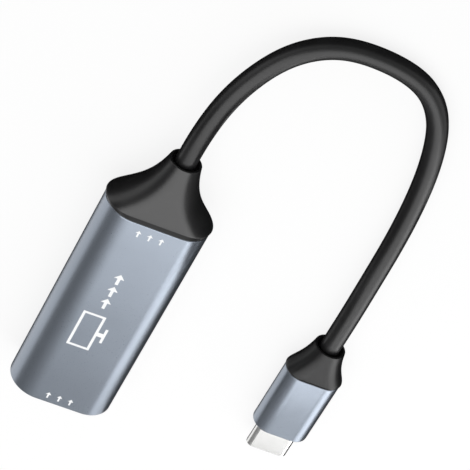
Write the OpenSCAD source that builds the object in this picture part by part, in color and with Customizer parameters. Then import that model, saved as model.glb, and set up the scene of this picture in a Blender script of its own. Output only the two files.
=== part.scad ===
// Video capture box: a flat oval aluminium sleeve with a video socket at one end and, at the other,
// a short captive lead that ends in a reversible data plug. The box and the plug lie flat on a table.
// +X runs across the box, +Y from the socket towards the lead, +Z up.
// The origin is on the table, under the middle of the box and its boot.

/* [Box sleeve] */
// Width of the oval sleeve
sleeve_w = 20.3; // [19.6:0.1:26]
// Height of the oval sleeve
sleeve_h = 11.2; // [10.8:0.1:13]
// Length of the sleeve
sleeve_l = 48; // [44:0.5:70]
// Wall of the sleeve
sleeve_wall = 1; // [0.8:0.05:1.1]
// Thickness of each rail that guides the circuit board
rail_t = 0.6; // [0.4:0.05:0.8]
// Hold of each rail on the board's edge
rail_reach = 0.7; // [0.4:0.05:0.8]

/* [Socket end] */
// Thickness of the plastic bezel in the sleeve's mouth
bezel_t = 2; // [1.2:0.1:3]
// Depth of the bezel's face below the sleeve's rim
bezel_recess = 0.3; // [0:0.05:0.8]
// Room on each side between the socket's opening and the sleeve's wall
socket_side = 2.15; // [1.9:0.05:3]
// Height of the socket's opening
socket_h = 4.55; // [4.3:0.05:4.9]
// Height of the opening's upright sides, above its sloping shoulders
socket_side_h = 2.65; // [2.5:0.05:3]
// Width of each sloping shoulder beside the opening's floor
socket_shoulder = 2; // [1:0.1:3]
// Depth of the socket
socket_depth = 11; // [9:0.1:13]
// Sheet of the socket's shell
socket_sheet = 0.3; // [0.2:0.05:0.4]
// Length of the moulded block behind the tongue
block_l = 3.5; // [2:0.1:5]
// Room on each side between the tongue and the opening
tongue_side = 1.4; // [1:0.1:2]
// Thickness of the tongue
tongue_t = 1.2; // [0.8:0.05:1.4]
// Distance of the tongue's tip behind the socket's mouth
tongue_setback = 1.2; // [0.6:0.1:2.5]
// Number of contacts on top of the tongue; one fewer lies below
socket_contacts = 10; // [4:1:10]
// Distance of the outermost contacts from the tongue's sides
contact_margin = 1.1; // [0.4:0.05:1.5]
// Width of one socket contact
socket_contact_w = 0.3; // [0.2:0.02:0.34]
// Thickness of the socket contacts
socket_contact_t = 0.12; // [0.08:0.01:0.16]

/* [Circuit board] */
// Thickness of the main board
board_t = 1; // [0.8:0.1:1.2]
// Distance of the board's top below the sleeve's axis
board_drop = 0.3; // [0.2:0.05:0.4]
// Length left free between the board and the boot's collar
lead_room = 9; // [7.5:0.5:12]
// Side of the square capture chip
chip_w = 8; // [6:0.5:9]
// Thickness of the capture chip
chip_t = 0.9; // [0.7:0.05:1.4]
// Length of the memory chip along the board
flash_l = 4.9; // [4:0.1:5.2]
// Width of the memory chip's body
flash_w = 3.9; // [3:0.1:4.4]
// Thickness of the memory chip's body
flash_t = 1.4; // [1:0.1:1.8]
// Length of the regulator's body along the board
regulator_l = 2.9; // [2.4:0.1:3.2]
// Width of the regulator's body
regulator_w = 1.6; // [1.2:0.1:2]
// Thickness of the regulator's body
regulator_t = 1; // [0.8:0.1:1.3]
// Diameter of the power inductor's winding
inductor_d = 3.6; // [2.4:0.1:4]
// Height of the power inductor
inductor_h = 2; // [1.2:0.1:3]
// Length of one small capacitor or resistor
chip_part_l = 1; // [0.6:0.1:1.2]
// Width and height of one small capacitor or resistor
chip_part_w = 0.5; // [0.3:0.05:0.6]

/* [Lead] */
// Diameter of the lead
cable_d = 4; // [3.4:0.1:4.4]
// Length of the boot outside the sleeve
boot_l = 12.5; // [10:0.5:16]
// Length of the boot's collar inside the sleeve
collar_l = 5; // [3:0.5:6]
// Diameter of the boot's neck
neck_d = 6.1; // [5.8:0.1:7]
// Length of the bevel round each boot where it meets its sleeve
boot_bevel = 0.3; // [0.2:0.05:0.6]
// Drop from the sleeve's top to the boot's, past the bevel
boot_lip = 0.6; // [0.2:0.05:0.8]
// Swell of the boot past the sleeve, at each side
boot_swell = 0.2; // [0:0.05:0.3]
// How quickly the boot draws in from the sleeve's width
boot_draw = 2.6; // [1:0.1:4]
// Depth of the recess round the lead in each neck
neck_recess = 0.8; // [0.4:0.1:1.5]
// Wall left round that recess
neck_rim = 0.5; // [0.3:0.05:0.6]
// Length of the crimp ring on the lead, in the box
crimp_l = 2.4; // [1.6:0.1:3]
// Wall of the crimp ring in the box
crimp_wall = 0.5; // [0.3:0.05:0.8]
// Diameter of one insulated wire
wire_d = 0.9; // [0.6:0.05:1]

/* [Plug body] */
// Width of the plug's oval sleeve
plug_w = 11.3; // [10.8:0.1:13]
// Height of the plug's oval sleeve
plug_h = 6.7; // [6.6:0.1:8]
// Length of the plug's sleeve
plug_l = 15.2; // [14.6:0.1:20]
// Wall of the plug's sleeve
plug_wall = 0.6; // [0.5:0.05:0.65]
// Length of the plastic insert in the plug's mouth
insert_l = 2.6; // [1.6:0.1:3]
// Depth of the insert's face below the plug's rim
insert_recess = 0.2; // [0:0.05:0.6]
// Length of the plug's boot outside its sleeve
plug_boot_l = 7.6; // [6:0.1:12]
// Length of the plug boot's collar inside its sleeve
plug_collar_l = 2.6; // [2:0.1:3]
// Drop from the plug sleeve's top to the top of its boot's neck
plug_neck_drop = 0.3; // [0.1:0.05:0.4]
// Drop from the plug sleeve's top to its boot's, past the bevel
plug_boot_lip = 0.15; // [0.05:0.05:0.4]
// Swell of the plug's boot past its sleeve, at each side
plug_boot_swell = 0.15; // [0:0.05:0.3]
// How quickly the plug's boot draws in from the sleeve's width
plug_boot_draw = 1.75; // [1:0.05:4]
// Length of the plug's crimp ring
plug_crimp_l = 1.6; // [1:0.1:2]
// Gap between the plug's crimp ring and its sleeve, above and below
plug_crimp_gap = 0.22; // [0.1:0.02:0.4]

/* [Plug tip] */
// Width of the plug's steel shell
shell_w = 8.25; // [8:0.05:8.6]
// Height of the plug's steel shell
shell_h = 2.4; // [2.3:0.05:2.7]
// Length of the shell in front of the plug's sleeve
shell_reach = 6.5; // [6:0.05:7.5]
// Length of the shell inside the plug's sleeve
shell_tail = 3.3; // [2.8:0.1:4.5]
// Sheet of the plug's shell
shell_sheet = 0.2; // [0.12:0.02:0.22]
// Distance of the moulded core's front behind the shell's rim
core_setback = 0.4; // [0.2:0.05:0.8]
// Length of the core
core_l = 8.2; // [7.6:0.1:8.8]
// Wall of the core on each side of its slot
slot_side = 0.545; // [0.5:0.005:0.6]
// Height of the slot in the core
slot_h = 1.4; // [1.1:0.05:1.5]
// Depth of the slot in the core
slot_l = 5.4; // [5:0.1:5.8]
// Number of contacts in a full row
plug_contacts = 12; // [6:2:12]
// Pitch of the plug's contacts
plug_pitch = 0.5; // [0.4:0.02:0.52]
// Width of one plug contact
plug_contact_w = 0.24; // [0.16:0.02:0.28]
// Thickness of the plug's contacts
plug_contact_t = 0.12; // [0.08:0.01:0.16]
// Length of each contact's tail on the plug's board
plug_contact_tail = 1.5; // [1:0.1:2]
// Thickness of the plug's board
plug_board_t = 0.6; // [0.4:0.05:0.7]
// Gap between the plug board's edges and the shell's sides
plug_board_side = 0.325; // [0.2:0.005:0.6]
// Length of the plug's board
plug_board_l = 5.6; // [4.6:0.1:6]
// Thickness of a latch arm
latch_t = 0.16; // [0.12:0.01:0.18]
// Height of a latch arm
latch_h = 0.6; // [0.4:0.05:0.7]
// Reach of a latch's hook into the slot
latch_hook = 0.25; // [0.2:0.01:0.3]
// Length of the plate between the latch arms
midplate_l = 1.6; // [1:0.1:1.8]
// Thickness of the plate between the latch arms
midplate_t = 0.2; // [0.1:0.02:0.24]

/* [Clearances] */
// Gap round parts that slide into a sleeve or a cut
slip_gap = 0.1; // [0.05:0.01:0.15]
// Gap round the fine parts of the connectors
fine_gap = 0.03; // [0.02:0.005:0.04]
// Gap between the board's edges and the sleeve's wall
edge_gap = 0.3; // [0.15:0.05:0.5]
// Gap between a latch arm's root and its plate
root_gap = 0.08; // [0.06:0.01:0.12]

/* [Hidden] */
$fn = 64;

// Overshoot of a cut past the face that it opens
cut = 1;

// Inside of the sleeve, and what fits across it
inner_w = sleeve_w - 2 * sleeve_wall;
inner_h = sleeve_h - 2 * sleeve_wall;
socket_w = inner_w - 2 * socket_side;
socket_floor_w = socket_w - 2 * socket_shoulder;
tongue_w = socket_w - 2 * tongue_side;
socket_pitch = (tongue_w - 2 * contact_margin) / (socket_contacts - 1);

// Places along the box, from the socket's mouth to the boot's neck
y_front = -(sleeve_l + boot_l) / 2;
y_back = y_front + sleeve_l;
y_neck = y_back + boot_l;
y_collar = y_back - collar_l;
y_face = y_front + bezel_recess;
y_bezel_back = y_face + bezel_t;
y_socket_back = y_face + socket_depth;
y_board = y_bezel_back + slip_gap;
y_board_back = y_collar - lead_room;
z_axis = sleeve_h / 2;

function half_width_at(radius, drop) = (sleeve_w - sleeve_h) / 2 + sqrt(radius * radius - drop * drop);

// The board in its two grooves
groove_gap = slip_gap / 2;
board_top = z_axis - board_drop;
board_bottom = board_top - board_t;
board_w = 2 * (half_width_at(inner_h / 2, board_drop + board_t) - edge_gap);
rail_in = board_w / 2 - rail_reach;
rail_low = board_drop + board_t + groove_gap + rail_t;
rail_out = half_width_at(inner_h / 2 + sleeve_wall / 2, rail_low);

// The socket's opening, as a convex outline about the axis
socket_outline = [
  [socket_w / 2, socket_h / 2],
  [-socket_w / 2, socket_h / 2],
  [-socket_w / 2, socket_h / 2 - socket_side_h],
  [-socket_floor_w / 2, -socket_h / 2],
  [socket_floor_w / 2, -socket_h / 2],
  [socket_w / 2, socket_h / 2 - socket_side_h]
];
function unit(v) = v / norm(v);
// Places of n things in a row, in steps about the row's middle
function row_places(n) = [for (i = [0 : n - 1]) i - (n - 1) / 2];
function edge_normal(a, b) = let (d = unit(b - a)) [d[1], -d[0]];
// Moves every edge of a convex outline outwards by d
function grown(outline, d) = [
  for (i = [0 : len(outline) - 1])
    let (
      before = outline[(i + len(outline) - 1) % len(outline)],
      after = outline[(i + 1) % len(outline)],
      n1 = edge_normal(before, outline[i]),
      n2 = edge_normal(outline[i], after)
    )
    outline[i] + d * (n1 + n2) / (1 + n1 * n2)
];
tongue_bottom = board_top + socket_contact_t;
tongue_top = tongue_bottom + tongue_t;
contact_foot_l = 1.2;
contact_leg_gap = 0.4;
contact_leg_y = y_socket_back + contact_leg_gap;
contact_inset = 0.6;
wing_l = 2.5;
wing_inset = 0.5;
finger_l = 4;
finger_w = 1.6;
finger_slit = 0.3;
finger_x = 3.2;
finger_inset = 2.5;

// Small parts on the board
lead_t = 0.15;
lead_w = 0.4;
lead_foot = 0.55;
chip_lift = 0.1;
flash_leads = 4;
regulator_leads = 3;
flash_pitch = flash_l / flash_leads;
regulator_pitch = regulator_l / regulator_leads;
crystal_l = 3.2;
crystal_w = 2.5;
crystal_t = 0.7;
crystal_lid = 0.2;
inductor_plate = 0.4;
row_pitch = 1.6;
row_count = 5;
row_gap = 0.6;
surge_l = 2.5;
surge_w = 1;
surge_t = 0.5;
surge_x = tongue_w / 2 + surge_w;
wire_pad = 1.2;
power_setback = 5;
side_x = board_w / 4;
y_surge = y_socket_back + wing_inset;
y_flash = y_surge + surge_l + row_gap + flash_l / 2;
y_power = y_board_back - wire_pad - power_setback;
y_chip = (y_socket_back + y_board_back) / 2;

// The lead's end in the box, and its wires to the board
y_crimp = y_collar - crimp_l;
jacket_end = 0.3;
y_jacket = y_crimp - jacket_end;
bore_d = cable_d + 2 * fine_gap;
wire_offset = 0.85;
wire_lift = 0.02;
wire_count = 4;
wire_pitch = 2.2;
wire_sides = 8;
wire_steps = 10;

// Where the plug lies, and places along it from its tip
plug_x = 42.2;
y_plug_neck = -0.6;
z_plug = plug_h / 2;
y_plug_back = y_plug_neck - plug_boot_l;
y_plug_front = y_plug_back - plug_l;
y_tip = y_plug_front - shell_reach;
y_plug_collar = y_plug_back - plug_collar_l;
y_plug_crimp = y_plug_collar - plug_crimp_l;
y_plug_jacket = y_plug_crimp - jacket_end;
plug_inner_w = plug_w - 2 * plug_wall;
plug_inner_h = plug_h - 2 * plug_wall;
plug_neck_d = plug_h - 2 * plug_neck_drop;
plug_crimp_d = plug_inner_h - 2 * plug_crimp_gap;
y_core = y_tip + core_setback;
y_core_back = y_core + core_l;
y_slot_back = y_core + slot_l;
core_w = shell_w - 2 * shell_sheet - 2 * fine_gap;
core_h = shell_h - 2 * shell_sheet - 2 * fine_gap;
slot_w = core_w - 2 * slot_side;
plug_board_w = shell_w - 2 * shell_sheet - 2 * plug_board_side;
y_plug_board = y_core_back + slip_gap;
y_plug_board_back = y_plug_board + plug_board_l;
plug_contact_inset = 0.8;

// The latch arms beside the slot, each turning about a pivot at its root
latch_inset = 0.8;
latch_root_inset = 0.2;
latch_ramp = 0.5;
latch_land = 0.2;
latch_fall = 0.3;
latch_x = slot_w / 2 + fine_gap + latch_t / 2;
y_latch = y_core + latch_inset;
y_latch_root = y_slot_back + latch_root_inset;
y_midplate = y_latch_root + root_gap;
channel_gap = 0.1;

// The lead's route: straight out of the box's neck, round a loop that settles on the table and back
// along the table into the plug's neck. Each point is [x, y, height of the underside].
loop_points = [
  [1, 45, 3.1],
  [4, 52.5, 2],
  [8, 58.5, 1.2],
  [14.5, 62.5, 0.3],
  [22.5, 63, 0],
  [31.2, 61.6, 0],
  [36.7, 56.1, 0],
  [39.4, 48.5, 0],
  [40.9, 41, 0],
  [41.8, 33, 0],
  [42.2, 25.5, 0.2],
  [42.2, 18, 0.7],
  [42.2, 10.5, 1.2]
];
neck_run = 6;
route_start = [for (y = [y_jacket, y_collar, y_back, y_neck, y_neck + neck_run]) [0, y, z_axis]];
route_end = [
  for (y = [y_plug_neck + neck_run, y_plug_neck, y_plug_back, y_plug_jacket]) [plug_x, y, z_plug]
];
route_loop = [for (p = loop_points) [p[0], p[1], p[2] + cable_d / 2]];
route = concat(route_start, route_loop, route_end);
cable_sides = 12;
rings_per_point = 3;

// One point of a uniform cubic spline through four neighbours
function spline(a, b, c, d, t) = (
  pow(1 - t, 3) * a
  + (3 * pow(t, 3) - 6 * t * t + 4) * b
  + (-3 * pow(t, 3) + 3 * t * t + 3 * t + 1) * c
  + pow(t, 3) * d
) / 6;
// A smooth path that starts and ends on the first and last of the points
function smooth_path(points, steps) = let (
  n = len(points),
  ends = concat([2 * points[0] - points[1]], points, [2 * points[n - 1] - points[n - 2]])
) concat(
  [
    for (i = [0 : n - 2], k = [0 : steps - 1])
      spline(ends[i], ends[i + 1], ends[i + 2], ends[i + 3], k / steps)
  ],
  [points[n - 1]]
);
// A ring of points round a path that never runs upright
function ring_at(path, i, d, sides) = let (
  ahead = unit(path[min(i + 1, len(path) - 1)] - path[max(i - 1, 0)]),
  side = unit(cross(ahead, [0, 0, 1])),
  up = cross(side, ahead)
) [
  for (k = [0 : sides - 1])
    let (a = 360 * (k + 0.5) / sides)
    path[i] + d / 2 * (cos(a) * side + sin(a) * up)
];
// Triangles that join rings of n points into a closed skin
function skin_faces(rings, n) = concat(
  [
    for (j = [0 : rings - 2], i = [0 : n - 1])
      each [
        [j * n + i, j * n + (i + 1) % n, (j + 1) * n + (i + 1) % n],
        [j * n + i, (j + 1) * n + (i + 1) % n, (j + 1) * n + i]
      ]
  ],
  [[for (i = [n - 1 : -1 : 0]) i]],
  [[for (i = [0 : n - 1]) (rings - 1) * n + i]]
);
function joined(rings) = [for (ring = rings) each ring];

// Draw-in of a boot's sides and fall of its top, from its base, at 0, to its neck, at 1
shoulder_power = 1.25;
draw_power = 1.45;
fall_power = 1.15;
function draw_in(u, quick) = (1 - pow(u, shoulder_power)) / (1 + quick * pow(u, draw_power));
function slope_down(u) = 1 - pow(u, fall_power);
boot_steps = 16;
arc_steps = 12;
// Half a boot's flat top at its neck, which keeps the two arcs of a ring apart
neck_flat = 0.05;
// An oval ring across the boot, of half-width a and half-height h
function oval_ring(a, h, x, y, z) = [
  for (side = [1, -1], i = [0 : arc_steps])
    let (turn = 180 * i / arc_steps - 90 * side)
    [x + side * (a - h) + h * cos(turn), y, z + h * sin(turn)]
];

// Shapes used by several parts

// An oval with flat top and bottom and round sides
module oval(w, h) {
  square([w - h, h], center = true);
  for (side = [-1, 1])
    translate([side * (w - h) / 2, 0])
      circle(d = h);
}

// Carries a flat outline along +Y, from y over a length
module along(x, y, z, length) {
  translate([x, y + length, z])
    rotate([90, 0, 0])
      linear_extrude(length)
        children();
}

module box_at(low, high) {
  translate(low)
    cube(high - low);
}

module rod_along(x, y, z, d, length) {
  translate([x, y, z])
    rotate([-90, 0, 0])
      cylinder(d = d, h = length);
}

// A moulded boot: an oval base that draws in to a round neck
module boot_body(x, y, z, w, h, length, neck, lip, swell, quick) {
  thin = neck / 2 + neck_flat;
  body = [
    for (i = [0 : boot_steps])
      let (
        u = i / boot_steps,
        wide = thin + (w / 2 + swell - thin) * draw_in(u, quick),
        high = neck / 2 + (h / 2 - lip - neck / 2) * slope_down(u)
      )
      oval_ring(wide, min(high, wide - neck_flat), x, y + boot_bevel + (length - boot_bevel) * u, z)
  ];
  rings = concat([oval_ring(w / 2, h / 2, x, y, z)], body);
  polyhedron(points = joined(rings), faces = skin_faces(len(rings), 2 * (arc_steps + 1)), convexity = 4);
}

// The bore for the lead, with a wider recess at the neck
module boot_bore(x, y_from, y_to, z, neck) {
  rod_along(x, y_from - cut, z, bore_d, y_to - y_from + 2 * cut);
  rod_along(x, y_to - neck_recess, z, neck - 2 * neck_rim, neck_recess + cut);
}

module swept_tube(path, d, sides) {
  rings = [for (i = [0 : len(path) - 1]) ring_at(path, i, d, sides)];
  polyhedron(points = joined(rings), faces = skin_faces(len(rings), sides), convexity = 6);
}

// A wire along +Y: straight along its pad, then easing sideways to its other end, both ends square
module wire(from, to) {
  straight = wire_pad / (to[1] - from[1]);
  rings = [
    for (i = [0 : wire_steps])
      let (t = i / wire_steps, e = max(0, (t - straight) / (1 - straight)), ease = e * e * (3 - 2 * e))
      [
        for (k = [0 : wire_sides - 1])
          let (a = 360 * (k + 0.5) / wire_sides)
          [
            from[0] + (to[0] - from[0]) * ease + wire_d / 2 * cos(a),
            from[1] + (to[1] - from[1]) * t,
            from[2] + (to[2] - from[2]) * ease + wire_d / 2 * sin(a)
          ]
      ]
  ];
  polyhedron(points = joined(rings), faces = skin_faces(len(rings), wire_sides), convexity = 4);
}

// The wire at pad i of the box's row of pads
module box_wire(i, across, above) {
  wire(
    [row_places(wire_count)[i] * wire_pitch, y_board_back - wire_pad, board_top + wire_d / 2 + wire_lift],
    [across * wire_offset, y_jacket, z_axis + above * wire_offset]
  );
}

module plug_wire(across, above) {
  wire(
    [plug_x + across * wire_pitch, y_plug_board_back - wire_pad,
     z_plug + above * (plug_board_t / 2 + wire_d / 2 + wire_lift)],
    [plug_x + across * wire_offset, y_plug_jacket, z_plug + above * wire_offset]
  );
}

// A bent lead from a chip's side, at x, down to its foot on the board; out is -1 or 1
module gull_lead(x, y, out, height) {
  knee = x + out * lead_foot / 2;
  far = knee + out * lead_foot;
  box_at(
    [min(x, knee + out * lead_t), y - lead_w / 2, board_top + height],
    [max(x, knee + out * lead_t), y + lead_w / 2, board_top + height + lead_t]
  );
  box_at(
    [min(knee, knee + out * lead_t), y - lead_w / 2, board_top],
    [max(knee, knee + out * lead_t), y + lead_w / 2, board_top + height + lead_t]
  );
  box_at(
    [min(knee, far), y - lead_w / 2, board_top],
    [max(knee, far), y + lead_w / 2, board_top + lead_t]
  );
}

// Contacts of the video socket, grown by a gap for the slots that hold them
module socket_contact_bars(gap) {
  for (place = row_places(socket_contacts)) {
    x = place * socket_pitch;
    box_at(
      [x - socket_contact_w / 2 - gap, y_face + tongue_setback + contact_inset, tongue_top - gap],
      [x + socket_contact_w / 2 + gap, contact_leg_y, tongue_top + socket_contact_t + gap]
    );
  }
  for (place = row_places(socket_contacts - 1)) {
    x = place * socket_pitch;
    box_at(
      [x - socket_contact_w / 2 - gap, y_face + tongue_setback + contact_inset, board_top - gap],
      [x + socket_contact_w / 2 + gap, contact_leg_y + contact_foot_l, tongue_bottom + gap]
    );
  }
}

// One row of plug contacts, above or below the board; the lower row leaves its middle pair out
module plug_contact_bars(side, gap) {
  for (place = row_places(plug_contacts)) {
    x = plug_x + place * plug_pitch;
    near = side * (plug_board_t / 2 - gap);
    far = side * (plug_board_t / 2 + plug_contact_t + gap);
    if (side > 0 || abs(place) > 1)
      box_at(
        [x - plug_contact_w / 2 - gap, y_core + plug_contact_inset, z_plug + min(near, far)],
        [x + plug_contact_w / 2 + gap, y_plug_board + plug_contact_tail, z_plug + max(near, far)]
      );
  }
}

// A latch arm; side is -1 on the left and 1 on the right
module latch_arm(side) {
  inner = plug_x + side * (latch_x - latch_t / 2);
  outer = plug_x + side * (latch_x + latch_t / 2);
  hook = plug_x + side * (slot_w / 2 - latch_hook);
  box_at(
    [min(inner, outer), y_latch, z_plug - latch_h / 2],
    [max(inner, outer), y_latch_root, z_plug + latch_h / 2]
  );
  translate([0, 0, z_plug - latch_h / 2])
    linear_extrude(latch_h)
      polygon([
        [outer, y_latch],
        [inner, y_latch],
        [hook, y_latch + latch_ramp],
        [hook, y_latch + latch_ramp + latch_land],
        [inner, y_latch + latch_ramp + latch_land + latch_fall],
        [outer, y_latch + latch_ramp + latch_land + latch_fall]
      ]);
}

// Row of small parts under the board, in front of or behind the capture chip
module chip_part_row(y) {
  for (place = row_places(row_count))
    translate([place * row_pitch, y, board_bottom - chip_part_w / 2])
      cube([chip_part_w, chip_part_l, chip_part_w], center = true);
}

// The box

module housing_sleeve() {
  color("slategray") {
    along(0, y_front, z_axis, sleeve_l)
      difference() {
        oval(sleeve_w, sleeve_h);
        oval(inner_w, inner_h);
      }
    for (side = [-1, 1], z = [board_top + groove_gap, board_bottom - groove_gap - rail_t])
      box_at(
        [side > 0 ? rail_in : -rail_out, y_board, z],
        [side > 0 ? rail_out : -rail_in, y_collar - slip_gap, z + rail_t]
      );
  }
}

module front_bezel() {
  color("black")
    along(0, y_face, z_axis, bezel_t)
      difference() {
        oval(inner_w - 2 * slip_gap, inner_h - 2 * slip_gap);
        polygon(grown(socket_outline, socket_sheet + slip_gap));
      }
}

module video_socket_shell() {
  color("silver") {
    difference() {
      along(0, y_face, z_axis, socket_depth)
        difference() {
          polygon(grown(socket_outline, socket_sheet));
          polygon(socket_outline);
        }
      for (x = [-finger_x, finger_x], side = [-1, 1])
        translate([x, y_face + finger_inset + finger_l / 2, z_axis + side * socket_h / 2])
          difference() {
            cube([finger_w + 2 * finger_slit, finger_l, 2 * cut], center = true);
            translate([0, -finger_slit, 0])
              cube([finger_w, finger_l, 3 * cut], center = true);
          }
    }
    for (side = [-1, 1], y = [y_board + wing_inset, y_socket_back - wing_inset - wing_l])
      box_at(
        [side > 0 ? socket_w / 2 : slip_gap - rail_in, y, board_top],
        [side > 0 ? rail_in - slip_gap : -socket_w / 2, y + wing_l, board_top + socket_sheet]
      );
  }
}

module video_socket_core() {
  color("black") {
    difference() {
      along(0, y_socket_back - block_l, z_axis, block_l)
        polygon(grown(socket_outline, -fine_gap));
      socket_contact_bars(fine_gap);
    }
    box_at(
      [-tongue_w / 2, y_face + tongue_setback, tongue_bottom],
      [tongue_w / 2, y_socket_back - block_l, tongue_top]
    );
  }
}

module video_socket_contacts() {
  color("gold") {
    socket_contact_bars(0);
    for (place = row_places(socket_contacts)) {
      x = place * socket_pitch;
      box_at(
        [x - socket_contact_w / 2, contact_leg_y, board_top],
        [x + socket_contact_w / 2, contact_leg_y + socket_contact_t, tongue_top + socket_contact_t]
      );
      box_at(
        [x - socket_contact_w / 2, contact_leg_y, board_top],
        [x + socket_contact_w / 2, contact_leg_y + contact_foot_l, tongue_bottom]
      );
    }
  }
}

module main_board() {
  notch = socket_w / 2 + socket_sheet + slip_gap;
  color("darkgreen")
    difference() {
      box_at([-board_w / 2, y_board, board_bottom], [board_w / 2, y_board_back, board_top]);
      box_at(
        [-notch, y_board - cut, board_bottom - cut],
        [notch, y_socket_back + slip_gap, board_top + cut]
      );
    }
}

module capture_chip() {
  color("dimgray")
    box_at(
      [-chip_w / 2, y_chip - chip_w / 2, board_bottom - chip_t],
      [chip_w / 2, y_chip + chip_w / 2, board_bottom]
    );
}

module thermal_pad() {
  pad = chip_w - 2 * edge_gap;
  color("lightsteelblue")
    box_at(
      [-pad / 2, y_chip - pad / 2, sleeve_wall],
      [pad / 2, y_chip + pad / 2, board_bottom - chip_t]
    );
}

module flash_chip() {
  color("dimgray")
    box_at(
      [-side_x - flash_w / 2, y_flash - flash_l / 2, board_top + chip_lift],
      [-side_x + flash_w / 2, y_flash + flash_l / 2, board_top + chip_lift + flash_t]
    );
}

module regulator() {
  color("dimgray")
    box_at(
      [-side_x - regulator_w / 2, y_power - regulator_l / 2, board_top + chip_lift],
      [-side_x + regulator_w / 2, y_power + regulator_l / 2, board_top + chip_lift + regulator_t]
    );
}

module chip_leads() {
  color("silver") {
    for (out = [-1, 1], place = row_places(flash_leads))
      gull_lead(-side_x + out * flash_w / 2, y_flash + place * flash_pitch, out, flash_t / 2);
    for (place = row_places(regulator_leads))
      gull_lead(-side_x - regulator_w / 2, y_power + place * regulator_pitch, -1, regulator_t / 2);
    for (place = [-1, 1])
      gull_lead(-side_x + regulator_w / 2, y_power + place * regulator_pitch, 1, regulator_t / 2);
  }
}

module crystal() {
  color("gainsboro")
    translate([side_x, y_flash, board_top]) {
      translate([-crystal_w / 2, -crystal_l / 2, 0])
        cube([crystal_w, crystal_l, crystal_t]);
      translate([crystal_lid - crystal_w / 2, crystal_lid - crystal_l / 2, 0])
        cube([crystal_w - 2 * crystal_lid, crystal_l - 2 * crystal_lid, crystal_t + crystal_lid]);
    }
}

module power_inductor() {
  color("darkslategray")
    translate([side_x, y_power, board_top]) {
      translate([-inductor_d / 2, -inductor_d / 2, 0])
        cube([inductor_d, inductor_d, inductor_plate]);
      cylinder(d = inductor_d, h = inductor_h);
    }
}

module capacitors() {
  color("tan")
    chip_part_row(y_chip + chip_w / 2 + row_gap + chip_part_l / 2);
}

module resistors() {
  color("black")
    chip_part_row(y_chip - chip_w / 2 - row_gap - chip_part_l / 2);
}

module surge_protectors() {
  color("black")
    for (side = [-1, 1])
      translate([side * surge_x - surge_w / 2, y_surge, board_top])
        cube([surge_w, surge_l, surge_t]);
}

// The boot, the crimp and the wires at the box's end

module cable_boot() {
  color("#202022")
    difference() {
      union() {
        boot_body(
          0, y_back, z_axis, sleeve_w, sleeve_h,
          boot_l, neck_d, boot_lip, boot_swell, boot_draw
        );
        along(0, y_collar, z_axis, collar_l)
          oval(inner_w - 2 * slip_gap, inner_h - 2 * slip_gap);
      }
      boot_bore(0, y_collar, y_neck, z_axis, neck_d);
    }
}

module cable_crimp() {
  color("silver")
    difference() {
      rod_along(0, y_crimp, z_axis, bore_d + 2 * crimp_wall, crimp_l);
      rod_along(0, y_crimp - cut, z_axis, bore_d, crimp_l + 2 * cut);
    }
}

module power_wire() {
  color("red")
    box_wire(0, -1, 1);
}

module ground_wire() {
  color("black")
    box_wire(3, 1, 1);
}

module data_wire_plus() {
  color("green")
    box_wire(1, -1, -1);
}

module data_wire_minus() {
  color("white")
    box_wire(2, 1, -1);
}

module cable() {
  color("#2a2a2c")
    swept_tube(smooth_path(route, rings_per_point), cable_d, cable_sides);
}

// The plug

module plug_boot() {
  color("#202022")
    difference() {
      union() {
        boot_body(
          plug_x, y_plug_back, z_plug, plug_w, plug_h,
          plug_boot_l, plug_neck_d, plug_boot_lip, plug_boot_swell, plug_boot_draw
        );
        along(plug_x, y_plug_collar, z_plug, plug_collar_l)
          oval(plug_inner_w - 2 * slip_gap, plug_inner_h - 2 * slip_gap);
      }
      boot_bore(plug_x, y_plug_collar, y_plug_neck, z_plug, plug_neck_d);
    }
}

module plug_sleeve() {
  color("slategray")
    along(plug_x, y_plug_front, z_plug, plug_l)
      difference() {
        oval(plug_w, plug_h);
        oval(plug_inner_w, plug_inner_h);
      }
}

module plug_insert() {
  color("black")
    along(plug_x, y_plug_front + insert_recess, z_plug, insert_l)
      difference() {
        oval(plug_inner_w - 2 * slip_gap, plug_inner_h - 2 * slip_gap);
        oval(shell_w + 2 * fine_gap, shell_h + 2 * fine_gap);
      }
}

module plug_shell() {
  color("silver")
    along(plug_x, y_tip, z_plug, shell_reach + shell_tail)
      difference() {
        oval(shell_w, shell_h);
        oval(shell_w - 2 * shell_sheet, shell_h - 2 * shell_sheet);
      }
}

module plug_core() {
  color("black")
    difference() {
      along(plug_x, y_core, z_plug, core_l)
        oval(core_w, core_h);
      box_at(
        [plug_x - slot_w / 2, y_core - cut, z_plug - slot_h / 2],
        [plug_x + slot_w / 2, y_slot_back, z_plug + slot_h / 2]
      );
      box_at(
        [plug_x - shell_w / 2, y_latch - channel_gap, z_plug - latch_h / 2 - channel_gap],
        [plug_x + shell_w / 2, y_latch_root + channel_gap, z_plug + latch_h / 2 + channel_gap]
      );
      box_at(
        [plug_x - shell_w / 2, y_latch_root, z_plug - midplate_t / 2 - fine_gap],
        [plug_x + shell_w / 2, y_midplate + midplate_l + fine_gap, z_plug + midplate_t / 2 + fine_gap]
      );
      plug_contact_bars(1, fine_gap);
      plug_contact_bars(-1, fine_gap);
    }
}

module plug_contacts_upper() {
  color("gold")
    plug_contact_bars(1, 0);
}

module plug_contacts_lower() {
  color("gold")
    plug_contact_bars(-1, 0);
}

module plug_midplate() {
  half = latch_x + latch_t / 2;
  color("lightgray")
    box_at(
      [plug_x - half, y_midplate, z_plug - midplate_t / 2],
      [plug_x + half, y_midplate + midplate_l, z_plug + midplate_t / 2]
    );
}

module plug_latch_left() {
  color("lightgray")
    latch_arm(-1);
}

module plug_latch_right() {
  color("lightgray")
    latch_arm(1);
}

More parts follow.
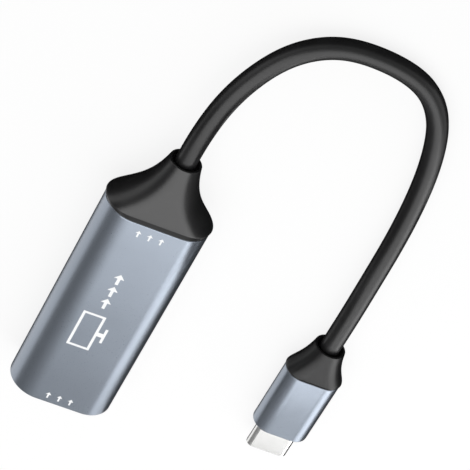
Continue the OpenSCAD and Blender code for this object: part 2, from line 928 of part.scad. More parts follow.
module plug_board() {
  color("darkgreen")
    box_at(
      [plug_x - plug_board_w / 2, y_plug_board, z_plug - plug_board_t / 2],
      [plug_x + plug_board_w / 2, y_plug_board_back, z_plug + plug_board_t / 2]
    );
}

module plug_resistors() {
  color("black")
    for (side = [-1, 1])
      translate([
        plug_x + side * chip_part_l - chip_part_w / 2,
        y_plug_board + plug_contact_tail + row_gap,
        z_plug + plug_board_t / 2
      ])
        cube([chip_part_w, chip_part_l, chip_part_w]);
}

module plug_crimp() {
  color("silver")
    difference() {
      rod_along(plug_x, y_plug_crimp, z_plug, plug_crimp_d, plug_crimp_l);
      rod_along(plug_x, y_plug_crimp - cut, z_plug, bore_d, plug_crimp_l + 2 * cut);
    }
}

module plug_power_wire() {
  color("red")
    plug_wire(-1, 1);
}

module plug_ground_wire() {
  color("black")
    plug_wire(1, 1);
}

module plug_data_wire_plus() {
  color("green")
    plug_wire(-1, -1);
}

module plug_data_wire_minus() {
  color("white")
    plug_wire(1, -1);
}

housing_sleeve();
front_bezel();
video_socket_shell();
video_socket_core();
video_socket_contacts();
main_board();
capture_chip();
thermal_pad();
flash_chip();
regulator();
chip_leads();
crystal();
power_inductor();
capacitors();
resistors();
surge_protectors();
cable_boot();
cable_crimp();
power_wire();
ground_wire();
data_wire_plus();
data_wire_minus();
cable();
plug_boot();
plug_sleeve();
plug_insert();
plug_shell();
plug_core();
plug_contacts_upper();
plug_contacts_lower();
plug_midplate();
plug_latch_left();
plug_latch_right();
plug_board();
plug_resistors();
plug_crimp();
plug_power_wire();
plug_ground_wire();
plug_data_wire_plus();
plug_data_wire_minus();
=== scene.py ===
import math

import bmesh
import bpy
from mathutils import Matrix, Quaternion, Vector


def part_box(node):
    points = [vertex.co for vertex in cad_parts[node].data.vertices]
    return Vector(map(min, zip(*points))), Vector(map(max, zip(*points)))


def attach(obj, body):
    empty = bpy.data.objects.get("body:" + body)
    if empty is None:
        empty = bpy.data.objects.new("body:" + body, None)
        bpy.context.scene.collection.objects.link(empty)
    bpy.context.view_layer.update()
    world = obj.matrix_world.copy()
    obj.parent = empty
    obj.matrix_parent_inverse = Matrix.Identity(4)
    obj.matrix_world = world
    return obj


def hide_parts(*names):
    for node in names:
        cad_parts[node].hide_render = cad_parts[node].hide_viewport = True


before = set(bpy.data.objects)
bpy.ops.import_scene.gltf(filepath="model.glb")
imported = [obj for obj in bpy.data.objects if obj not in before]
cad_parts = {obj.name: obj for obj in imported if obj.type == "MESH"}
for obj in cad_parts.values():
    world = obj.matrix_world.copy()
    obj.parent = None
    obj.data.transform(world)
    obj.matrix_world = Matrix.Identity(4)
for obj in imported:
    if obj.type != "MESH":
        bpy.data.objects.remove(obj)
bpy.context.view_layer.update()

MM = 0.001
BOX = "box"

# Sizes in millimetres that the CAD model has inside its solids
SLEEVE_WALL = 1.0
COLLAR_GAP = 1.1
COLLAR_L = 5.0
PLUG_WALL = 0.6
PLUG_COLLAR_GAP = 0.7
PLUG_COLLAR_L = 2.6
CABLE_R = 2.0
BORE_R = 2.03
NECK_R = 3.05
NECK_RIM = 0.5
NECK_RECESS = 0.8
SHELL_SHEET = 0.2
BOOT_BEVEL = 0.3
SHOULDER_POWER = 1.25
DRAW_POWER = 1.45
FALL_POWER = 1.15
NECK_FLAT = 0.05
RAIL_T = 0.6
RAIL_REACH = 0.7
RAIL_GAP = 0.05

# Drop of a boot's lip, swell past the sleeve's width, and how quickly the body draws in, as in the CAD model
BOX_BOOT_FORM = {"lip": 0.6, "swell": 0.2, "quick": 2.6}
PLUG_BOOT_FORM = {"lip": 0.15, "swell": 0.15, "quick": 1.75}

# Finish in millimetres that only this scene has; the lip of the box's boot runs longer than the solid's
LIP_RUN = 0.55
SOFT_EDGE = 0.12
COLLAR_CHAMFER = 0.3
COLLAR_STEP = 0.02
SLEEVE_RIM = 0.25
SLEEVE_INNER_RIM = 0.15
PLUG_RIM = 0.2
PLUG_INNER_RIM = 0.12
TIP_RIM = 0.09
INK_DEPTH = 0.05
INK_RISE = 0.008

# Fineness of the meshes
QUARTER_STEPS = 4
NOSE_STEPS = 8
BODY_STEPS = 44
BODY_START = (0, 0.004, 0.012)
LIP_SHARES = (0.08, 0.92)
LEAST_FLAT = 0.004
CABLE_ROUND_STEPS = 8
CABLE_LONG_STEPS = 10


class Place:
    """A node's box at rest, in millimetres."""

    def __init__(self, node):
        low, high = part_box(node)
        self.x = (low.x + high.x) / 2 / MM
        self.z = (low.z + high.z) / 2 / MM
        self.w = (high.x - low.x) / MM
        self.h = (high.z - low.z) / MM
        self.y0 = low.y / MM
        self.y1 = high.y / MM


SLEEVE = Place("housing_sleeve")
BOOT = Place("cable_boot")
PLUG = Place("plug_sleeve")
PLUG_BOOT = Place("plug_boot")
SHELL = Place("plug_shell")


# Camera

CAMERA_AT = (-0.098902, 0.321003, 0.381554)
CAMERA_RIGHT = (0.91415, 0.40251, -0.04809)
CAMERA_UP = (-0.33459, 0.68222, -0.65010)
CAMERA_BACK = (-0.22886, 0.61038, 0.75833)
CAMERA_LENS = 212.35
CAMERA_SENSOR = 36.0
CAMERA_NEAR = 0.01
CAMERA_FAR = 20.0


def make_camera():
    data = bpy.data.cameras.new("camera")
    data.sensor_width = CAMERA_SENSOR
    data.lens = CAMERA_LENS
    data.clip_start = CAMERA_NEAR
    data.clip_end = CAMERA_FAR
    cam = bpy.data.objects.new("camera", data)
    bpy.context.scene.collection.objects.link(cam)
    axes = Matrix((CAMERA_RIGHT, CAMERA_UP, CAMERA_BACK)).transposed().to_4x4()
    cam.matrix_world = Matrix.Translation(CAMERA_AT) @ axes
    bpy.context.scene.camera = cam


# Materials

NOISE_LOW = 0.3
NOISE_HIGH = 0.7
CLOUD_DETAIL = 2.0
GRAIN_DETAIL = 3.0
GRAIN_STRENGTH = 0.6


def new_material(name):
    mat = bpy.data.materials.new(name)
    mat.use_nodes = True
    return mat, mat.node_tree.nodes, mat.node_tree.links, mat.node_tree.nodes["Principled BSDF"]


def noise(nodes, links, scale, detail=GRAIN_DETAIL, stretch=(1, 1, 1)):
    """Noise over the object's own metres, with scale in features per millimetre."""
    coords = nodes.new("ShaderNodeTexCoord")
    mapping = nodes.new("ShaderNodeMapping")
    mapping.inputs["Scale"].default_value = [k / MM for k in stretch]
    links.new(coords.outputs["Object"], mapping.inputs["Vector"])
    tex = nodes.new("ShaderNodeTexNoise")
    tex.inputs["Scale"].default_value = scale
    tex.inputs["Detail"].default_value = detail
    links.new(mapping.outputs["Vector"], tex.inputs["Vector"])
    return tex.outputs["Fac"]


def ramp(nodes, links, value, low, high):
    """Noise spread between two numbers."""
    node = nodes.new("ShaderNodeMapRange")
    node.inputs["From Min"].default_value = NOISE_LOW
    node.inputs["From Max"].default_value = NOISE_HIGH
    node.inputs["To Min"].default_value = low
    node.inputs["To Max"].default_value = high
    links.new(value, node.inputs["Value"])
    return node.outputs["Result"]


def tint(nodes, links, value, dark, light):
    node = nodes.new("ShaderNodeMix")
    node.data_type = "RGBA"
    node.inputs["A"].default_value = (*dark, 1)
    node.inputs["B"].default_value = (*light, 1)
    links.new(value, node.inputs["Factor"])
    return node.outputs["Result"]


def bump(nodes, links, bsdf, height, strength, depth):
    """Bump of a depth in millimetres."""
    node = nodes.new("ShaderNodeBump")
    node.inputs["Strength"].default_value = strength
    node.inputs["Distance"].default_value = depth * MM
    links.new(height, node.inputs["Height"])
    links.new(node.outputs["Normal"], bsdf.inputs["Normal"])


def surface(name, dark, light, rough, metallic=0.0, grain=4.0, stretch=(1, 1, 1), depth=0.004,
            cloud=0.25, specular=0.5):
    """A material whose colour drifts between two tones in soft clouds and whose fine grain is bumped."""
    mat, nodes, links, bsdf = new_material(name)
    clouds = ramp(nodes, links, noise(nodes, links, cloud, CLOUD_DETAIL), 0.0, 1.0)
    fine = noise(nodes, links, grain, GRAIN_DETAIL, stretch)
    links.new(tint(nodes, links, clouds, dark, light), bsdf.inputs["Base Color"])
    links.new(ramp(nodes, links, fine, *rough), bsdf.inputs["Roughness"])
    bsdf.inputs["Metallic"].default_value = metallic
    bsdf.inputs["Specular IOR Level"].default_value = specular
    bump(nodes, links, bsdf, fine, GRAIN_STRENGTH, depth)
    return mat


ALUMINIUM = surface("anodised_aluminium", (0.313, 0.351, 0.408), (0.340, 0.381, 0.443), (0.27, 0.36),
                    metallic=1.0, grain=9.0, stretch=(1.0, 0.5, 1.0), depth=0.002, cloud=0.08)
RUBBER_TONES = ((0.006, 0.006, 0.0065), (0.009, 0.009, 0.0095))
RUBBER_ROUGH = (0.33, 0.41)
RUBBER = surface("boot_rubber", *RUBBER_TONES, RUBBER_ROUGH, grain=5.0, depth=0.003, specular=0.85)
# A shaded copy of the boot rubber, with the same tones and weaker reflection: painted shade that renders the
# plug's boot darker than the box's
SHADED_PLUG_RUBBER = surface("plug_boot_rubber_shaded", *RUBBER_TONES, RUBBER_ROUGH, grain=5.0, depth=0.003,
                      specular=0.48)
JACKET = surface("cable_jacket", (0.008, 0.008, 0.0085), (0.011, 0.011, 0.0115), (0.32, 0.40), grain=4.0,
                 stretch=(1, 0.6, 1), depth=0.003, specular=0.6)
PLASTIC = surface("black_plastic", (0.011, 0.011, 0.012), (0.016, 0.016, 0.017), (0.42, 0.54), grain=6.0,
                  depth=0.006)
STEEL = surface("plated_steel", (0.80, 0.80, 0.79), (0.86, 0.86, 0.85), (0.20, 0.27), metallic=1.0,
                grain=6.0, stretch=(1, 0.3, 1), depth=0.0005)
GOLD = surface("gold_plate", (0.80, 0.55, 0.22), (0.88, 0.64, 0.29), (0.18, 0.28), metallic=1.0, grain=10.0,
               depth=0.001)
RESIN = surface("chip_resin", (0.018, 0.018, 0.019), (0.028, 0.028, 0.029), (0.48, 0.62), grain=7.0,
                depth=0.006)
PAD = surface("silicone_pad", (0.40, 0.48, 0.56), (0.46, 0.53, 0.61), (0.6, 0.75), grain=3.0, depth=0.01)
TIN = surface("tinned_copper", (0.62, 0.62, 0.60), (0.74, 0.74, 0.71), (0.26, 0.40), metallic=1.0,
              grain=6.0, depth=0.003)
CRYSTAL = surface("crystal_can", (0.70, 0.69, 0.66), (0.78, 0.77, 0.74), (0.22, 0.32), metallic=1.0,
                  grain=6.0, stretch=(1, 0.2, 1), depth=0.001)
FERRITE = surface("ferrite", (0.045, 0.045, 0.048), (0.07, 0.07, 0.074), (0.55, 0.7), grain=8.0,
                  depth=0.012)
CERAMIC = surface("ceramic", (0.36, 0.24, 0.13), (0.46, 0.33, 0.19), (0.42, 0.55), grain=8.0, depth=0.004)
WIRES = {
    tone: surface(tone + "_insulation", dark, light, (0.28, 0.36), depth=0.003)
    for tone, dark, light in (
        ("red", (0.42, 0.012, 0.012), (0.5, 0.02, 0.018)),
        ("black", (0.012, 0.012, 0.012), (0.02, 0.02, 0.02)),
        ("green", (0.012, 0.2, 0.035), (0.02, 0.27, 0.05)),
        ("white", (0.62, 0.62, 0.6), (0.7, 0.7, 0.68)),
    )
}
DARK_CARD = surface("dark_card", (0.012, 0.012, 0.012), (0.016, 0.016, 0.016), (0.8, 0.9), specular=0.0)
GREY_CARD = surface("grey_card", (0.29, 0.29, 0.29), (0.31, 0.31, 0.31), (0.8, 0.9), specular=0.0)
INK = surface("white_ink", (0.86, 0.87, 0.88), (0.91, 0.92, 0.92), (0.5, 0.62), grain=8.0, depth=0.003)

# Circuit boards: solder mask and traces
MASK_DARK = (0.008, 0.075, 0.028)
MASK_LIGHT = (0.010, 0.090, 0.034)
MASK_OVER_TRACE = (0.020, 0.150, 0.060)
MASK_GRAIN = 5.0
MASK_ROUGH = (0.26, 0.36)
TRACE_SCALE = 0.7
TRACE_WIDTH = 0.05
TRACE_STRENGTH = 0.5
TRACE_DEPTH = 0.02


def board_material():
    """Green solder mask over faint copper traces."""
    mat, nodes, links, bsdf = new_material("circuit_board")
    coords = nodes.new("ShaderNodeTexCoord")
    mapping = nodes.new("ShaderNodeMapping")
    mapping.inputs["Scale"].default_value = [1 / MM] * 3
    links.new(coords.outputs["Object"], mapping.inputs["Vector"])
    traces = nodes.new("ShaderNodeTexBrick")
    traces.inputs["Scale"].default_value = TRACE_SCALE
    traces.inputs["Mortar Size"].default_value = TRACE_WIDTH
    traces.inputs["Color1"].default_value = (*MASK_DARK, 1)
    traces.inputs["Color2"].default_value = (*MASK_LIGHT, 1)
    traces.inputs["Mortar"].default_value = (*MASK_OVER_TRACE, 1)
    links.new(mapping.outputs["Vector"], traces.inputs["Vector"])
    links.new(traces.outputs["Color"], bsdf.inputs["Base Color"])
    fine = noise(nodes, links, MASK_GRAIN)
    links.new(ramp(nodes, links, fine, *MASK_ROUGH), bsdf.inputs["Roughness"])
    bump(nodes, links, bsdf, traces.outputs["Fac"], TRACE_STRENGTH, TRACE_DEPTH)
    return mat


BOARD = board_material()


# Mesh helpers

def oval(half_w, half_h, arc=28, flat=6):
    """Points round an oval with flat top and bottom, as (x, z, normal x, normal z)."""
    half_w = max(half_w, half_h + LEAST_FLAT)
    run = half_w - half_h
    points = []
    for side in (1, -1):
        for i in range(arc + 1):
            turn = math.pi * i / arc - side * math.pi / 2
            nx, nz = math.cos(turn), math.sin(turn)
            points.append((side * run + half_h * nx, half_h * nz, nx, nz))
        for i in range(1, flat):
            points.append((side * run * (1 - 2 * i / flat), side * half_h, 0.0, float(side)))
    return points


def face_outwards(mesh):
    work = bmesh.new()
    work.from_mesh(mesh)
    bmesh.ops.recalc_face_normals(work, faces=work.faces)
    work.to_mesh(mesh)
    work.free()


def add_object(name, data, mat):
    obj = bpy.data.objects.new(name, data)
    bpy.context.scene.collection.objects.link(obj)
    data.materials.append(mat)
    return obj


def finish_mesh(name, verts, faces, mat, normals=None, smooth=True):
    mesh = bpy.data.meshes.new(name)
    mesh.from_pydata([tuple(c * MM for c in v) for v in verts], [], faces)
    mesh.validate()
    mesh.polygons.foreach_set("use_smooth", [smooth] * len(mesh.polygons))
    if normals:
        mesh.normals_split_custom_set_from_vertices(normals)
    else:
        face_outwards(mesh)
    mesh.update()
    return add_object(name, mesh, mat)


def closed_loft(name, rings, mat, normals=None):
    """Joins rings of equal length, the last one to the first, into a closed skin."""
    n = len(rings[0])
    faces = []
    for j in range(len(rings)):
        a, b = j * n, (j + 1) % len(rings) * n
        for i in range(n):
            k = (i + 1) % n
            faces.append((a + i, b + i, b + k, a + k))
    flat_normals = [v for ring in normals for v in ring] if normals else None
    return finish_mesh(name, [p for ring in rings for p in ring], faces, mat, flat_normals)


def rounded_tube(name, place, outline, wall, edge, inner_edge, mat, steps=5):
    """A tube along Y with rounded rims; outline(d) gives its section moved inwards by d."""
    profile = []
    corners = (
        (edge, place.y1 - edge, edge, 0),
        (wall - inner_edge, place.y1 - inner_edge, inner_edge, 90),
        (wall - inner_edge, place.y0 + inner_edge, inner_edge, 180),
        (edge, place.y0 + edge, edge, 270),
    )
    for d, y, r, start in corners:
        for i in range(steps + 1):
            a = math.radians(start + 90 * i / steps)
            profile.append((d - r * math.cos(a), y + r * math.sin(a), math.cos(a), math.sin(a)))
    rings, normals = [], []
    for d, y, out, along in profile:
        section = outline(d)
        rings.append([(place.x + x, y, place.z + z) for x, z, _, _ in section])
        normals.append([(nx * out, along, nz * out) for _, _, nx, nz in section])
    return closed_loft(name, rings, mat, normals)


def prisms(name, shapes, base, rise, mat):
    """Straight prisms in one mesh.

    A shape is its outline and any holes; base(u, v) places a point of it, and rise is the prism's length.
    """
    work = bmesh.new()
    for loops in shapes:
        edges = []
        for loop in loops:
            verts = [work.verts.new(base(u, v)) for u, v in loop]
            edges += [work.edges.new((verts[i - 1], verts[i])) for i in range(len(verts))]
        cap = bmesh.ops.triangle_fill(work, use_beauty=True, edges=edges)["geom"]
        cap = [part for part in cap if isinstance(part, bmesh.types.BMFace)]
        raised = bmesh.ops.extrude_face_region(work, geom=cap, use_keep_orig=True)["geom"]
        ends = [part for part in raised if isinstance(part, bmesh.types.BMVert)]
        bmesh.ops.translate(work, vec=rise, verts=ends)
    bmesh.ops.recalc_face_normals(work, faces=work.faces)
    bmesh.ops.scale(work, vec=(MM, MM, MM), verts=work.verts)
    mesh = bpy.data.meshes.new(name)
    work.to_mesh(mesh)
    work.free()
    return add_object(name, mesh, mat)


def as_piece(obj, slot, *nodes):
    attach(obj, BOX)
    if nodes:
        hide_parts(*nodes)
    return obj


# The cable, along the CAD model's route

ROUTE = [
    (0, 10.05, 5.6), (0, 12.75, 5.6), (0, 17.75, 5.6), (0, 30.25, 5.6), (0, 36.25, 5.6),
    (1, 45, 5.1), (4, 52.5, 4), (8, 58.5, 3.2), (14.5, 62.5, 2.3), (22.5, 63, 2), (31.2, 61.6, 2),
    (36.7, 56.1, 2), (39.4, 48.5, 2), (40.9, 41, 2), (41.8, 33, 2), (42.2, 25.5, 2.2), (42.2, 18, 2.7),
    (42.2, 10.5, 3.2), (42.2, 5.4, 3.35), (42.2, -0.6, 3.35), (42.2, -8.2, 3.35), (42.2, -12.7, 3.35),
]


def make_cable():
    """One smooth spline, whose two added outer points make it start and end on the route."""
    first, last = [[2 * a - b for a, b in zip(ROUTE[i], ROUTE[j])] for i, j in ((0, 1), (-1, -2))]
    points = [first, *ROUTE, last]
    data = bpy.data.curves.new("cable_jacket", "CURVE")
    data.dimensions = "3D"
    data.bevel_depth = CABLE_R * MM
    data.bevel_resolution = CABLE_ROUND_STEPS
    data.use_fill_caps = True
    data.resolution_u = CABLE_LONG_STEPS
    spline = data.splines.new("NURBS")
    spline.points.add(len(points) - 1)
    for p, co in zip(spline.points, points):
        p.co = (*[c * MM for c in co], 1)
    spline.order_u = 4
    spline.use_endpoint_u = False
    spline.resolution_u = CABLE_LONG_STEPS
    return as_piece(add_object("cable_jacket", data, JACKET), "cable_jacket", "cable")


# Boots

def draw_in(u, quick):
    """How much of a boot's extra width is left at a share u of its length."""
    return (1 - u ** SHOULDER_POWER) / (1 + quick * u ** DRAW_POWER)


def slope_down(u):
    """How much of a boot's extra height is left at a share u of its length."""
    return 1 - u ** FALL_POWER


def quarter_turn():
    """Angles from 0 to 90 degrees in even steps."""
    return [math.pi / 2 * i / QUARTER_STEPS for i in range(QUARTER_STEPS + 1)]


def boot(name, mat, place, sleeve, collar_gap, collar_l, run, lip, swell, quick):
    """A moulded boot: collar, base edge, lip, body that draws in to a round neck, and the bore."""
    y_base = sleeve.y1
    length = place.y1 - y_base
    half_w, half_h = sleeve.w / 2, sleeve.h / 2
    stations = []

    def add(half_width, half_height, y):
        stations.append((half_width, half_height, y))

    collar_w, collar_h = half_w - collar_gap, half_h - collar_gap
    add(collar_w - COLLAR_CHAMFER, collar_h - COLLAR_CHAMFER, y_base - collar_l)
    add(collar_w, collar_h, y_base - collar_l + COLLAR_CHAMFER)
    add(collar_w, collar_h, y_base - COLLAR_STEP)
    for a in quarter_turn():
        inwards = SOFT_EDGE * (1 - math.sin(a))
        add(half_w - inwards, half_h - inwards, y_base + SOFT_EDGE * (1 - math.cos(a)))
    for share in LIP_SHARES:
        y = y_base + SOFT_EDGE + (run - SOFT_EDGE) * share
        add(half_w + swell * share, half_h - lip * share, y)
    thin = NECK_R + NECK_FLAT
    for u in (*BODY_START, *[i / BODY_STEPS for i in range(1, BODY_STEPS + 1)]):
        wide = thin + (half_w + swell - thin) * draw_in(u, quick)
        high = NECK_R + (half_h - lip - NECK_R) * slope_down(u)
        add(wide, min(high, wide - NECK_FLAT), y_base + run + (length - run - SOFT_EDGE) * u)
    for a in quarter_turn()[1:]:
        inwards = SOFT_EDGE * (1 - math.cos(a))
        add(thin - inwards, NECK_R - inwards, place.y1 - SOFT_EDGE * (1 - math.sin(a)))
    recess = NECK_R - NECK_RIM
    for a in quarter_turn():
        radius = recess + SOFT_EDGE * (1 - math.sin(a))
        add(radius, radius, place.y1 - SOFT_EDGE * (1 - math.cos(a)))
    add(recess, recess, place.y1 - NECK_RECESS)
    add(BORE_R, BORE_R, place.y1 - NECK_RECESS)
    add(BORE_R, BORE_R, y_base - collar_l)
    rings = [
        [(place.x + x, y, place.z + z) for x, z, _, _ in oval(half_width, half_height)]
        for half_width, half_height, y in stations
    ]
    return closed_loft(name, rings, mat)


def make_box_boot():
    piece = boot("box_boot", RUBBER, BOOT, SLEEVE, COLLAR_GAP, COLLAR_L, LIP_RUN, **BOX_BOOT_FORM)
    return as_piece(piece, "boot_rubber", "cable_boot")


def make_plug_boot():
    piece = boot("plug_boot_moulding", SHADED_PLUG_RUBBER, PLUG_BOOT, PLUG, PLUG_COLLAR_GAP, PLUG_COLLAR_L,
                 BOOT_BEVEL, **PLUG_BOOT_FORM)
    return as_piece(piece, "boot_rubber", "plug_boot")


# Sleeves and the plug's tip

def oval_outline(place):
    return lambda d: oval(place.w / 2 - d, place.h / 2 - d)


def make_sleeve():
    rims = (SLEEVE_RIM, SLEEVE_INNER_RIM)
    tube = rounded_tube("box_sleeve", SLEEVE, oval_outline(SLEEVE), SLEEVE_WALL, *rims, ALUMINIUM)
    return as_piece(tube, "anodised_aluminium", "housing_sleeve")


def make_plug_sleeve():
    rims = (PLUG_RIM, PLUG_INNER_RIM)
    tube = rounded_tube("plug_sleeve_tube", PLUG, oval_outline(PLUG), PLUG_WALL, *rims, ALUMINIUM)
    return as_piece(tube, "anodised_aluminium", "plug_sleeve")


def make_plug_tip():
    rims = (TIP_RIM, TIP_RIM)
    tube = rounded_tube("plug_tip_shell", SHELL, oval_outline(SHELL), SHELL_SHEET, *rims, STEEL)
    return as_piece(tube, "plated_steel", "plug_shell")


def make_rails():
    """Two pairs of rails inside the sleeve, which hold the board by its edges; each has a rounded nose."""
    board_low, board_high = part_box("main_board")
    nose = board_high.x / MM - RAIL_REACH
    radius = SLEEVE.h / 2 - SLEEVE_WALL / 2
    outlines = []
    for side in (-1, 1):
        for z in (board_high.z / MM + RAIL_GAP, board_low.z / MM - RAIL_GAP - RAIL_T):
            drop = max(abs(z - SLEEVE.z), abs(z + RAIL_T - SLEEVE.z))
            root = (SLEEVE.w - SLEEVE.h) / 2 + math.sqrt(radius ** 2 - drop ** 2)
            r = RAIL_T / 2
            turns = [math.pi * (0.5 + i / NOSE_STEPS) for i in range(NOSE_STEPS + 1)]
            rounded = [(side * (nose + r + r * math.cos(a)), z + r + r * math.sin(a)) for a in turns]
            outlines.append([(side * root, z + RAIL_T), *rounded, (side * root, z)])
    start, end = board_low.y / MM, SLEEVE.y1 - COLLAR_L - RAIL_GAP * 2
    shapes = [[outline] for outline in outlines]
    rails = prisms("board_rails", shapes, lambda u, v: (u, start, v), (0, end - start, 0), ALUMINIUM)
    return as_piece(rails, "anodised_aluminium")


# Plain signs in white ink on the sleeve: arrows with the signal's flow, and a screen

# Arrows are a length and a width, places are x and y, all in millimetres
END_ARROW = (1.5, 1.1)
END_ARROWS_X = -0.4
END_ARROW_PITCH = 2.2
OUT_MARGIN = 2.2
IN_MARGIN = 1.9
FLOW_ARROW = (2.6, 2.0)
FLOW_ARROWS_AT = (-1.6, -2.4)
FLOW_ARROW_PITCH = 3.2
SCREEN_AT = (-2.3, -10.0)
SCREEN_SIZE = (9.0, 4.4)
SCREEN_BAR = 0.5
SHAFT_SHARE = 0.15
HEAD_SHARE = 0.55


def arrow_outline(x, y, length, width):
    """An arrow along +Y with its tip at y + length / 2."""
    shaft, barb = width * SHAFT_SHARE, width / 2
    tail, tip = y - length / 2, y + length / 2
    neck = tip - width * HEAD_SHARE
    half = [(shaft, tail), (shaft, neck), (barb, neck), (0, tip)]
    return [(x + u, v) for u, v in half] + [(x - u, v) for u, v in half[-2::-1]]


def screen_shape(x, y, width, height, bar):
    """A screen's frame on a stand, its top towards -X: an outline and the frame's hole."""
    low, high = x - height / 2, x + height / 2
    stem, foot = high + 2 * bar, high + 3 * bar
    side, base = width / 2, width / 5
    half = [(low, side), (high, side), (high, bar), (stem, bar), (stem, base), (foot, base)]
    outline = [(u, y + v) for u, v in half] + [(u, y - v) for u, v in reversed(half)]
    top, bottom, inner = low + bar, high - bar, side - bar
    hole = [(top, y - inner), (bottom, y - inner), (bottom, y + inner), (top, y + inner)]
    return [outline, hole]


def make_signs():
    top = SLEEVE.z + SLEEVE.h / 2

    def sign(name, shapes):
        rise = (0, 0, INK_DEPTH + INK_RISE)
        as_piece(prisms(name, shapes, lambda u, v: (u, v, top - INK_DEPTH), rise, INK), None)

    for name, y in (("sign_arrows_out", SLEEVE.y1 - OUT_MARGIN), ("sign_arrows_in", SLEEVE.y0 + IN_MARGIN)):
        places = [END_ARROWS_X + END_ARROW_PITCH * i for i in (-1, 0, 1)]
        sign(name, [[arrow_outline(x, y, *END_ARROW)] for x in places])
    sign("sign_screen", [screen_shape(*SCREEN_AT, *SCREEN_SIZE, SCREEN_BAR)])
    x, first = FLOW_ARROWS_AT
    places = [first + FLOW_ARROW_PITCH * i for i in range(3)]
    sign("sign_arrows_flow", [[arrow_outline(x, y, *FLOW_ARROW)] for y in places])


# The CAD nodes that stay get a finer material

NODE_MATERIALS = {
    "front_bezel": PLASTIC,
    "video_socket_shell": STEEL,
    "video_socket_core": PLASTIC,
    "video_socket_contacts": GOLD,
    "main_board": BOARD,
    "capture_chip": RESIN,
    "thermal_pad": PAD,
    "flash_chip": RESIN,
    "regulator": RESIN,
    "chip_leads": TIN,
    "crystal": CRYSTAL,
    "power_inductor": FERRITE,
    "capacitors": CERAMIC,
    "resistors": RESIN,
    "surge_protectors": RESIN,
    "cable_crimp": TIN,
    "power_wire": WIRES["red"],
    "ground_wire": WIRES["black"],
    "data_wire_plus": WIRES["green"],
    "data_wire_minus": WIRES["white"],
    "plug_insert": PLASTIC,
    "plug_core": PLASTIC,
    "plug_contacts_upper": GOLD,
    "plug_contacts_lower": GOLD,
    "plug_midplate": STEEL,
    "plug_latch_left": STEEL,
    "plug_latch_right": STEEL,
    "plug_board": BOARD,
    "plug_resistors": RESIN,
    "plug_crimp": TIN,
    "plug_power_wire": WIRES["red"],
    "plug_ground_wire": WIRES["black"],
    "plug_data_wire_plus": WIRES["green"],
    "plug_data_wire_minus": WIRES["white"],
}


def dress_nodes():
    for node, mat in NODE_MATERIALS.items():
        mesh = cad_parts[node].data
        mesh.materials.clear()
        mesh.materials.append(mat)


# Studio: white floor, dim room, two lamps in metres, and cards in millimetres

FLOOR_HALF = 3.0
FLOOR_DROP = 0.00005
FLOOR_WHITE = 0.92
FLOOR_ROUGH = 0.9
FLOOR_SPECULAR = 0.1
FLOOR_GLOW = 0.85
ROOM_DIM = 0.25
ROOM_PALE = 0.6
WALLS_TURN = (-0.4, 0.3)
WALLS_HEIGHT = (0.3, 0.6)
TOP_LAMP = {
    "at": (0.03, -0.035, 0.26),
    "target": (0.03, -0.035, 0.0),
    "size": (0.46, 0.32),
    "radiance": 1.7,
    "roll": -14.0,
}
STRIPE_LAMP = {
    "at": (0.265, -0.165, 0.14),
    "target": (0.0, -0.165, 0.0),
    "size": (0.22, 0.19),
    "radiance": 2.7,
    "roll": 0.0,
}
CARD_RISE = 0.02
CARD_WHITE = 0.9

# Cards on the floor: left and right, near and far, lift of the right edge, material
FLOOR_CARDS = (
    ((-13.2, 24), (-40, 34), 8, DARK_CARD),
    ((35.2, 60), (-40, 34), 6, DARK_CARD),
    ((-45, 62), (34, 76), 0, DARK_CARD),
    ((-45, -13.2), (17, 34), 0, DARK_CARD),
    ((24, 35.2), (-9, 34), 0, GREY_CARD),
)

# Upright cards: two points of the floor plan, low and high edge
STANDING_CARDS = (
    ((-30, 14), (-30, 36), 16, 45),
    ((26, 12), (26, 34), CARD_RISE, 34),
    ((31, -7), (31, 8), 9, 24),
    ((-45, 76), (62, 76), CARD_RISE, 9),
)

# Level white cards over the plug: left and right, near and far, height, glow
LEVEL_CARDS = (
    ((38, 51), (-38, -30.6), 12, 0.15),
    ((34, 60), (-40.5, -20), 36, 1.25),
)


def make_floor():
    """White paper, which the camera and reflections see as nearly white and which keeps the shadow."""
    s = FLOOR_HALF
    mesh = bpy.data.meshes.new("floor")
    mesh.from_pydata([(-s, -s, 0), (s, -s, 0), (s, s, 0), (-s, s, 0)], [], [(0, 1, 2, 3)])
    mat, nodes, links, bsdf = new_material("floor_paper")
    obj = add_object("floor", mesh, mat)
    obj.location.z = -FLOOR_DROP
    bsdf.inputs["Base Color"].default_value = (FLOOR_WHITE, FLOOR_WHITE, FLOOR_WHITE, 1)
    bsdf.inputs["Roughness"].default_value = FLOOR_ROUGH
    bsdf.inputs["Specular IOR Level"].default_value = FLOOR_SPECULAR
    glow = nodes.new("ShaderNodeEmission")
    glow.inputs["Strength"].default_value = 1.0
    path = nodes.new("ShaderNodeLightPath")

    def combine(operation, first):
        node = nodes.new("ShaderNodeMath")
        node.operation = operation
        links.new(first, node.inputs[0])
        return node

    seen = combine("MAXIMUM", path.outputs["Is Camera Ray"])
    links.new(path.outputs["Is Glossy Ray"], seen.inputs[1])
    through = combine("MAXIMUM", seen.outputs[0])
    links.new(path.outputs["Is Transmission Ray"], through.inputs[1])
    share = combine("MULTIPLY", through.outputs[0])
    share.inputs[1].default_value = FLOOR_GLOW
    mix = nodes.new("ShaderNodeMixShader")
    links.new(share.outputs[0], mix.inputs["Fac"])
    links.new(bsdf.outputs["BSDF"], mix.inputs[1])
    links.new(glow.outputs["Emission"], mix.inputs[2])
    links.new(mix.outputs["Shader"], nodes["Material Output"].inputs["Surface"])


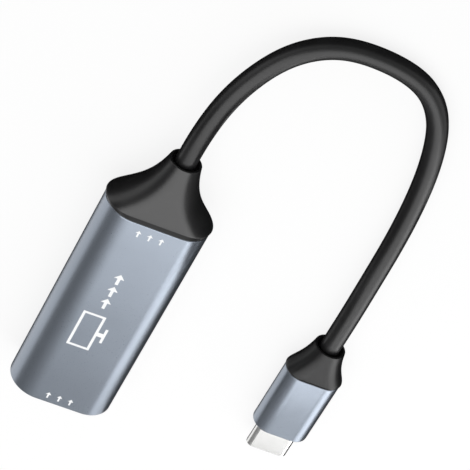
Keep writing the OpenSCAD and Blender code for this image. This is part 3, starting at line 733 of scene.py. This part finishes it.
def make_world():
    """A dim room, with pale walls low down on all sides but the socket's."""
    world = bpy.data.worlds.new("studio")
    bpy.context.scene.world = world
    world.use_nodes = True
    nodes, links = world.node_tree.nodes, world.node_tree.links
    coords = nodes.new("ShaderNodeTexCoord")

    def spread(axis, low, high, start, end):
        """A number that goes smoothly from start to end as a direction turns towards an axis."""
        along = nodes.new("ShaderNodeVectorMath")
        along.operation = "DOT_PRODUCT"
        along.inputs[1].default_value = axis
        links.new(coords.outputs["Generated"], along.inputs[0])
        share = nodes.new("ShaderNodeMapRange")
        share.interpolation_type = "SMOOTHSTEP"
        share.inputs["From Min"].default_value = low
        share.inputs["From Max"].default_value = high
        share.inputs["To Min"].default_value = start
        share.inputs["To Max"].default_value = end
        links.new(along.outputs["Value"], share.inputs["Value"])
        return share.outputs["Result"]

    strength = nodes.new("ShaderNodeMath")
    strength.operation = "MULTIPLY_ADD"
    strength.inputs[2].default_value = ROOM_DIM
    links.new(spread((0, 1, 0), *WALLS_TURN, 0.0, ROOM_PALE), strength.inputs[0])
    links.new(spread((0, 0, 1), *WALLS_HEIGHT, 1.0, 0.0), strength.inputs[1])
    links.new(strength.outputs[0], nodes["Background"].inputs["Strength"])
    nodes["Background"].inputs["Color"].default_value = (1, 1, 1, 1)


def softbox(name, at, target, size, radiance, roll):
    """A rectangle of light, as bright as the given radiance, that the camera doesn't see."""
    data = bpy.data.lights.new(name, "AREA")
    data.shape = "RECTANGLE"
    data.size, data.size_y = size
    data.energy = radiance * math.pi * size[0] * size[1]
    obj = bpy.data.objects.new(name, data)
    bpy.context.scene.collection.objects.link(obj)
    obj.location = at
    away = (Vector(target) - Vector(at)).normalized()
    turn = Quaternion((0, 0, 1), math.radians(roll))
    obj.rotation_mode = "QUATERNION"
    obj.rotation_quaternion = away.to_track_quat("-Z", "Y") @ turn
    obj.visible_camera = False


def studio_card(name, verts, faces, mat):
    """A card, in millimetres, which shows only in reflections."""
    card = finish_mesh(name, verts, faces, mat, smooth=False)
    card.visible_camera = False
    card.visible_diffuse = False
    card.visible_shadow = False
    card.visible_transmission = False


def floor_card(across, ends, lift, mat):
    """A card on the floor, its right half sloping up."""
    left, right = across
    rows = ((left, CARD_RISE), ((left + right) / 2, CARD_RISE), (right, CARD_RISE + lift))
    verts = [(x, y, z) for x, z in rows for y in ends]
    studio_card("floor_card", verts, [(0, 2, 3, 1), (2, 4, 5, 3)], mat)


def standing_card(start, end, low, high):
    """An upright dark card between two points of the floor plan and two heights."""
    verts = [(*foot, z) for foot in (start, end) for z in (low, high)]
    studio_card("standing_card", verts, [(0, 2, 3, 1)], DARK_CARD)


def level_card(across, ends, height, glow):
    """A level white card, which the plug's flat top and steel tip reflect."""
    mat, _, _, bsdf = new_material("white_card")
    bsdf.inputs["Base Color"].default_value = (CARD_WHITE, CARD_WHITE, CARD_WHITE, 1)
    bsdf.inputs["Emission Color"].default_value = (1, 1, 1, 1)
    bsdf.inputs["Emission Strength"].default_value = glow
    verts = [(x, y, height) for x in across for y in ends]
    studio_card("level_card", verts, [(0, 2, 3, 1)], mat)


def make_lights():
    softbox("top", **TOP_LAMP)
    softbox("stripe", **STRIPE_LAMP)
    for card in FLOOR_CARDS:
        floor_card(*card)
    for card in STANDING_CARDS:
        standing_card(*card)
    for card in LEVEL_CARDS:
        level_card(*card)


bpy.context.scene.view_settings.view_transform = "Standard"
make_camera()
cable = make_cable()
make_sleeve()
make_rails()
make_signs()
make_box_boot()
plug_boot = make_plug_boot()
plug_sleeve = make_plug_sleeve()
plug_tip = make_plug_tip()
dress_nodes()
make_floor()
make_world()
make_lights()
